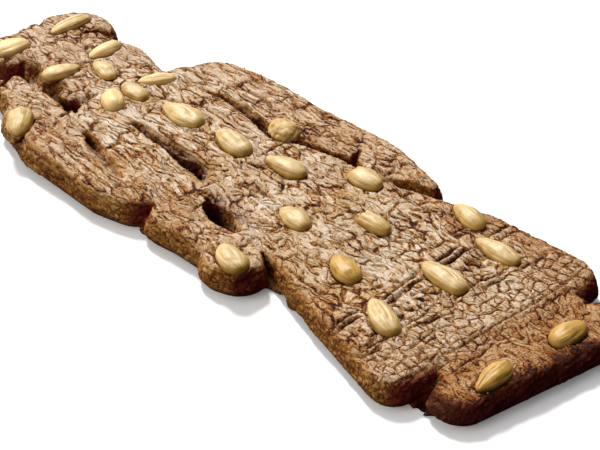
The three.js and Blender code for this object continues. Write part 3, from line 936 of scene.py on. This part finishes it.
def new_material(name):
    """An empty material and its node tree."""
    material = bpy.data.materials.new(name)
    material.use_nodes = True
    material.node_tree.nodes.clear()
    return material, material.node_tree


ATTRIBUTE = "ShaderNodeAttribute"
BUMP = "ShaderNodeBump"
CELLS = "ShaderNodeTexVoronoi"
MAPPING = "ShaderNodeMapping"
MATHS = "ShaderNodeMath"
MIX = "ShaderNodeMix"
NOISE = "ShaderNodeTexNoise"
RAMP = "ShaderNodeValToRGB"
RANGE = "ShaderNodeMapRange"
SHADER = "ShaderNodeBsdfPrincipled"
SURFACE = "ShaderNodeOutputMaterial"


def spiced_dough():
    """Speculoos dough baked through: dusty pale plates over a redder, darker crumb in the cracks."""
    material, tree = new_material("baked_spiced_dough")
    skin = add(tree, ATTRIBUTE, out="Vector", attribute_name="skin")
    gap, opened, tone, wall, golden, deep, painted_shade_footward = (
        add(tree, ATTRIBUTE, out="Fac", attribute_name=name)
        for name in ("gap", "opened", "tone", "wall", "golden", "deep", "painted_shade_footward"))

    # Sugar and flour: the grain is finer than this, and is drawn 0.8 mm across so that it shows.
    grain = add(tree, NOISE, {"Vector": skin, "Scale": 1 / 0.8, "Detail": 3.0, "Roughness": 0.75})
    grain_off = add(tree, MATHS, {0: grain, 1: 0.5}, operation="SUBTRACT")

    # Cloudy patches of 2 mm, where the crust lies open or shut.
    mottle = add(tree, NOISE, {"Vector": skin, "Scale": 1 / 2.2, "Detail": 3.0, "Roughness": 0.6})
    how_open = add(tree, RANGE, {
        "Value": mottle, "From Min": 0.38, "From Max": 0.6, "To Min": 0.15, "To Max": 0.85})

    # Flakes in steps, each with a thin line of painted shadow where it overhangs the next, ragged by the
    # grain.
    layer = flake_pattern(tree, skin)
    layer = add(tree, MATHS, {0: grain_off, 1: 0.35, 2: layer}, operation="MULTIPLY_ADD")
    step = add(tree, MATHS, {0: layer}, operation="FLOOR")
    rise = add(tree, MATHS, {0: layer}, operation="FRACT")
    overhang = add(tree, RANGE, {
        "Value": rise, "From Min": 0.0, "From Max": 0.38, "To Min": 1.0, "To Max": 0.0})
    flaked = add(tree, MATHS, {0: overhang, 1: how_open}, operation="MULTIPLY")
    flake_tone = add(tree, "ShaderNodeTexWhiteNoise", {"W": step}, noise_dimensions="1D")
    steps = add(tree, RANGE, {
        "Value": rise, "From Min": 0.0, "From Max": 0.2, "To Min": 0.0, "To Max": 1.0})
    steps = add(tree, MATHS, {0: steps, 1: step}, operation="ADD")

    # Creases that run along the grain for 9 mm or so, nearly 2 mm apart.
    grained = add(tree, MAPPING, {"Vector": skin, "Scale": (1 / 1.8, 1 / 9, 1 / 2)})
    wander = add(tree, NOISE, {"Vector": grained, "Scale": 1.0, "Detail": 3.0, "Roughness": 0.5})
    wander = add(tree, MATHS, {0: wander, 1: 0.5}, operation="SUBTRACT")
    wander = add(tree, MATHS, {0: wander}, operation="ABSOLUTE")
    creased = add(tree, RANGE, {
        "Value": wander, "From Min": 0.0, "From Max": 0.025, "To Min": 0.7, "To Max": 0.0})
    creased = add(tree, MATHS, {0: creased, 1: how_open}, operation="MULTIPLY")
    cracked = add(tree, MATHS, {0: flaked, 1: creased}, operation="MAXIMUM")

    # The plates' wider cracks, darkest in the middle and golden to 0.75 mm on each side.
    plate_edge, plate_tone, _ = plate_pattern(tree, skin)
    sealed = add(tree, MATHS, {0: opened, 1: -1.2, 2: 1.2}, operation="MULTIPLY_ADD")
    across = float(PLATE_SIZE[0])
    plate_way = add(tree, MATHS, {0: plate_edge, 1: across, 2: sealed}, operation="MULTIPLY_ADD")
    wide = add(tree, MATHS, {0: plate_way, 1: gap}, operation="MINIMUM")
    wide = add(tree, MATHS, {0: grain_off, 1: 1.0, 2: wide}, operation="MULTIPLY_ADD")
    wide = add(tree, RANGE, {
        "Value": wide, "From Min": 0.0, "From Max": 0.75, "To Min": 1.05, "To Max": 0.0})
    patch = add(tree, NOISE, {"Vector": skin, "Scale": 1 / 4, "Detail": 3.0, "Roughness": 0.6})
    uneven = add(tree, RANGE, {
        "Value": patch, "From Min": 0.35, "From Max": 0.6, "To Min": 0.25, "To Max": 1.1})
    wide = add(tree, MATHS, {0: wide, 1: uneven}, operation="MULTIPLY")
    cracked = add(tree, MATHS, {0: cracked, 1: wide}, operation="MAXIMUM")

    # How pale the crust is: each cause and its weight, then down into the cracks, then golden flecks.
    level = 0.21
    causes = [(grain_off, 0.9), (flake_tone, 0.14), (plate_tone, 0.1), (tone, 0.4), (mottle, 0.3)]
    for cause, weight in causes:
        level = add(tree, MATHS, {0: cause, 1: weight, 2: level}, operation="MULTIPLY_ADD")
    level = add(tree, MATHS, {0: cracked, 1: -0.78, 2: level}, operation="MULTIPLY_ADD", use_clamp=True)
    fleck = add(tree, MATHS, {0: wall, 1: -2.0, 2: golden}, operation="MULTIPLY_ADD")
    fleck = add(tree, MATHS, {0: grain_off, 1: fleck}, operation="MULTIPLY")
    level = add(tree, MATHS, {0: fleck, 1: 0.4, 2: level}, operation="MULTIPLY_ADD", use_clamp=True)
    crust = add(tree, RAMP, {"Fac": level}, stops=[
        (0.0, "#3a1002"), (0.16, "#743b02"), (0.34, "#a06d2c"), (0.52, "#b39a75"), (0.68, "#c6b5a2"),
        (0.84, "#dacabd"), (1.0, "#eee3dc")])
    warmth = add(tree, MATHS, {0: golden, 1: 0.6, 2: -0.15}, operation="MULTIPLY_ADD", use_clamp=True)
    warm = add(tree, MIX, {0: warmth, 6: crust, 7: linear("#dcb070")}, out=2,
               data_type="RGBA", blend_type="MULTIPLY")

    # The sides are browner; painted shade makes the clefts redder and the walls facing the foot end dark
    # red.
    side = add(tree, RAMP, {"Fac": level}, stops=[
        (0.0, "#4a1e03"), (0.25, "#763f07"), (0.5, "#9b6722"), (0.75, "#b98e54"), (1.0, "#d6ba94")])
    colour = add(tree, MIX, {0: wall, 6: warm, 7: side}, out=2, data_type="RGBA")
    # Painted shade in the clefts, near the tray and in the deeper strokes.
    depth = add(tree, MATHS, {0: deep, 1: 0.92}, operation="MULTIPLY")
    colour = add(tree, MIX, {0: depth, 6: colour, 7: linear("#7a1c0a")}, out=2,
                 data_type="RGBA", blend_type="MULTIPLY")
    # Painted shade for the walls that face the foot end.
    painted_shade_colour = add(tree, RAMP, {"Fac": level}, stops=[(0.0, "#4a0a04"), (0.5, "#6a140a"), (1.0, "#8c3a1e")])
    colour = add(tree, MIX, {0: painted_shade_footward, 6: colour, 7: painted_shade_colour}, out=2, data_type="RGBA")

    roughness = add(tree, RANGE, {
        "Value": level, "From Min": 0.2, "From Max": 0.9, "To Min": 0.7, "To Max": 0.42})
    height = add(tree, MATHS, {0: cracked, 1: -1.0, 2: grain}, operation="MULTIPLY_ADD")
    height = add(tree, MATHS, {0: steps, 1: 0.5, 2: height}, operation="MULTIPLY_ADD")
    normal = add(tree, BUMP, {"Height": height, "Strength": 1.0, "Distance": 0.0004})
    shader = add(tree, SHADER, {
        "Base Color": colour, "Roughness": roughness, "Normal": normal,
        "IOR": 1.42, "Specular IOR Level": 0.25})
    add(tree, SURFACE, {"Surface": shader})
    return material


def blanched_almond(name, coated=False):
    """Almond without its skin, oven-dried: ivory, its flanks gold and brown from toast and painted shade.
    """
    material, tree = new_material(name)
    place = add(tree, "ShaderNodeTexCoord", out="Object")
    along, around, broken, toast_and_shade, pale = (
        add(tree, ATTRIBUTE, out="Fac", attribute_name=name)
        for name in ("along", "around", "broken", "toast_and_shade", "pale"))

    # Lengthwise fibres, 14 to the half round, and cloudy patches of 4 mm.
    across = add(tree, MATHS, {0: around, 1: 14.0}, operation="MULTIPLY")
    streak_at = add(tree, "ShaderNodeCombineXYZ", {"X": across, "Y": along})
    streaks = add(tree, NOISE, {"Vector": streak_at, "Scale": 1.0, "Detail": 4.0})
    patches = add(tree, NOISE, {"Vector": place, "Scale": 1000 / 4, "Detail": 3.0})
    tone = add(tree, MATHS, {0: patches, 1: 0.6, 2: 0.08}, operation="MULTIPLY_ADD")
    tone = add(tree, MATHS, {0: streaks, 1: 0.45, 2: tone}, operation="MULTIPLY_ADD", use_clamp=True)
    flesh = add(tree, RAMP, {"Fac": tone}, stops=[
        (0.35, "#8f6c32"), (0.5, "#ae9058"), (0.62, "#c0a672"), (0.8, "#d6c296")])
    gold = add(tree, RAMP, {"Fac": tone}, stops=[(0.3, "#70460e"), (0.5, "#a37a2a"), (0.75, "#c49e4e")])
    uneven = add(tree, MATHS, {0: patches, 1: 1.6, 2: -0.8}, operation="MULTIPLY_ADD")
    # Gold and brown where toast and painted shade reach.
    reach = add(tree, MATHS, {0: toast_and_shade, 1: 1.25, 2: uneven}, operation="MULTIPLY_ADD", use_clamp=True)
    colour = add(tree, MIX, {0: reach, 6: flesh, 7: gold}, out=2, data_type="RGBA")
    # Painted light on almonds whose flanks lie in shade.
    colour = add(tree, MIX, {0: pale, 6: colour, 7: linear("#f4d294")}, out=2, data_type="RGBA")
    if coated:
        crumb = add(tree, RAMP, {"Fac": patches}, stops=[
            (0.3, "#8a6a34"), (0.5, "#c0a468"), (0.7, "#dccb98")])
        colour = add(tree, MIX, {0: 0.65, 6: colour, 7: crumb}, out=2, data_type="RGBA")
    # Brown in the furrows, at the broken tips, and over the coat of dough.
    colour = add(tree, MIX, {0: broken, 6: colour, 7: linear("#a87834")}, out=2, data_type="RGBA")
    height = add(tree, MATHS, {0: patches, 1: 0.6, 2: streaks}, operation="MULTIPLY_ADD")
    normal = add(tree, BUMP, {"Height": height, "Strength": 0.6, "Distance": 0.0005})
    shader = add(tree, SHADER, {
        "Base Color": colour, "Roughness": 0.6 if coated else 0.46, "Normal": normal, "IOR": 1.46,
        "Subsurface Weight": 0.35, "Subsurface Radius": (0.004, 0.0025, 0.001), "Subsurface Scale": 0.8})
    add(tree, SURFACE, {"Surface": shader})
    return material


def table_paper():
    """Matt white paper under the biscuit."""
    material, tree = new_material("white_paper")
    shader = add(tree, SHADER, {
        "Base Color": linear("#f7f8fa"), "Roughness": 0.9, "Emission Color": linear("#ffffff"),
        "Emission Strength": 0.12})
    add(tree, SURFACE, {"Surface": shader})
    return material


# ---------------------------------------------------------------- building it

biscuit = make_biscuit()
biscuit.data.materials.append(spiced_dough())
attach(biscuit, "root")
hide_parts(DOUGH)

crumbs = make_crumbs(biscuit)
crumbs.data.materials.append(biscuit.data.materials[0])
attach(crumbs, "root")

almond_finish = blanched_almond("toasted_blanched_almond")
coated_finish = blanched_almond("almond_under_dough", coated=True)
for seed, (name, nut) in enumerate(nuts.items()):
    piece = make_almond(name, nut, 100 + 10 * seed)
    piece.data.materials.append(coated_finish if nut.name in COATED else almond_finish)
    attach(piece, "root")
    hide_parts(name)


# ---------------------------------------------------------------- floor, light and camera

FLOOR_REACH = 3  # metres from the middle to each side


def make_floor():
    """A sheet of white paper, wide enough to fill the view."""
    bm = bmesh.new()
    bmesh.ops.create_grid(bm, x_segments=1, y_segments=1, size=FLOOR_REACH)
    mesh = bpy.data.meshes.new("floor")
    bm.to_mesh(mesh)
    bm.free()
    mesh.materials.append(table_paper())
    floor = new_object("floor", mesh)
    floor.visible_diffuse = False
    floor.visible_glossy = False


SUN_DISTANCE = 2  # metres, only to keep the lamps off the object


def add_sun(name, direction, **settings):
    """A broad, even light from one direction."""
    data = bpy.data.lights.new(name, "SUN")
    for key, value in settings.items():
        setattr(data, key, value)
    light = new_object(name, data)
    way = Vector(direction).normalized()
    light.location = way * SUN_DISTANCE
    light.rotation_euler = way.to_track_quat("Z", "Y").to_euler()


def make_camera():
    """A camera past the foot end, on the left, that looks down at the doll."""
    azimuth, elevation, distance = math.radians(-40.87), math.radians(35.0), 0.7631
    aim = Vector((1.6, -22.9, 0.0)) * MM
    level = math.cos(elevation)
    back = Vector((math.sin(azimuth) * level, -math.cos(azimuth) * level, math.sin(elevation)))
    data = bpy.data.cameras.new("camera")
    data.lens, data.sensor_width = 120.0, 36.0
    camera = new_object("camera", data)
    camera.location = aim + back * distance
    camera.rotation_euler = back.to_track_quat("Z", "Y").to_euler()
    bpy.context.scene.camera = camera


def make_world():
    """A soft tent of light, brightest above the head end, dark beyond the foot end."""
    world = bpy.data.worlds.new("studio")
    world.use_nodes = True
    tree = world.node_tree
    way = add(tree, "ShaderNodeTexCoord", out="Generated")
    brightest = Vector((-0.25, 0.7, 0.67))
    facing = add(tree, "ShaderNodeVectorMath", {0: way, 1: brightest}, out="Value", operation="DOT_PRODUCT")
    glow = add(tree, RANGE, {
        "Value": facing, "From Min": -0.3, "From Max": 0.9, "To Min": 0.02, "To Max": 0.75})
    background = tree.nodes["Background"]
    background.inputs["Color"].default_value = linear("#f4f4f6")
    tree.links.new(glow, background.inputs["Strength"])
    bpy.context.scene.world = world


make_floor()
make_world()
add_sun("key", (0.4, 0.9, 1.15), energy=4.2, angle=math.radians(14), color=(1.0, 0.98, 0.95))
add_sun("left", (-1.0, 0.15, 0.5), energy=1.1, angle=math.radians(50), color=(1.0, 0.92, 0.8))
bpy.context.scene.view_settings.view_transform = "Standard"
make_camera()
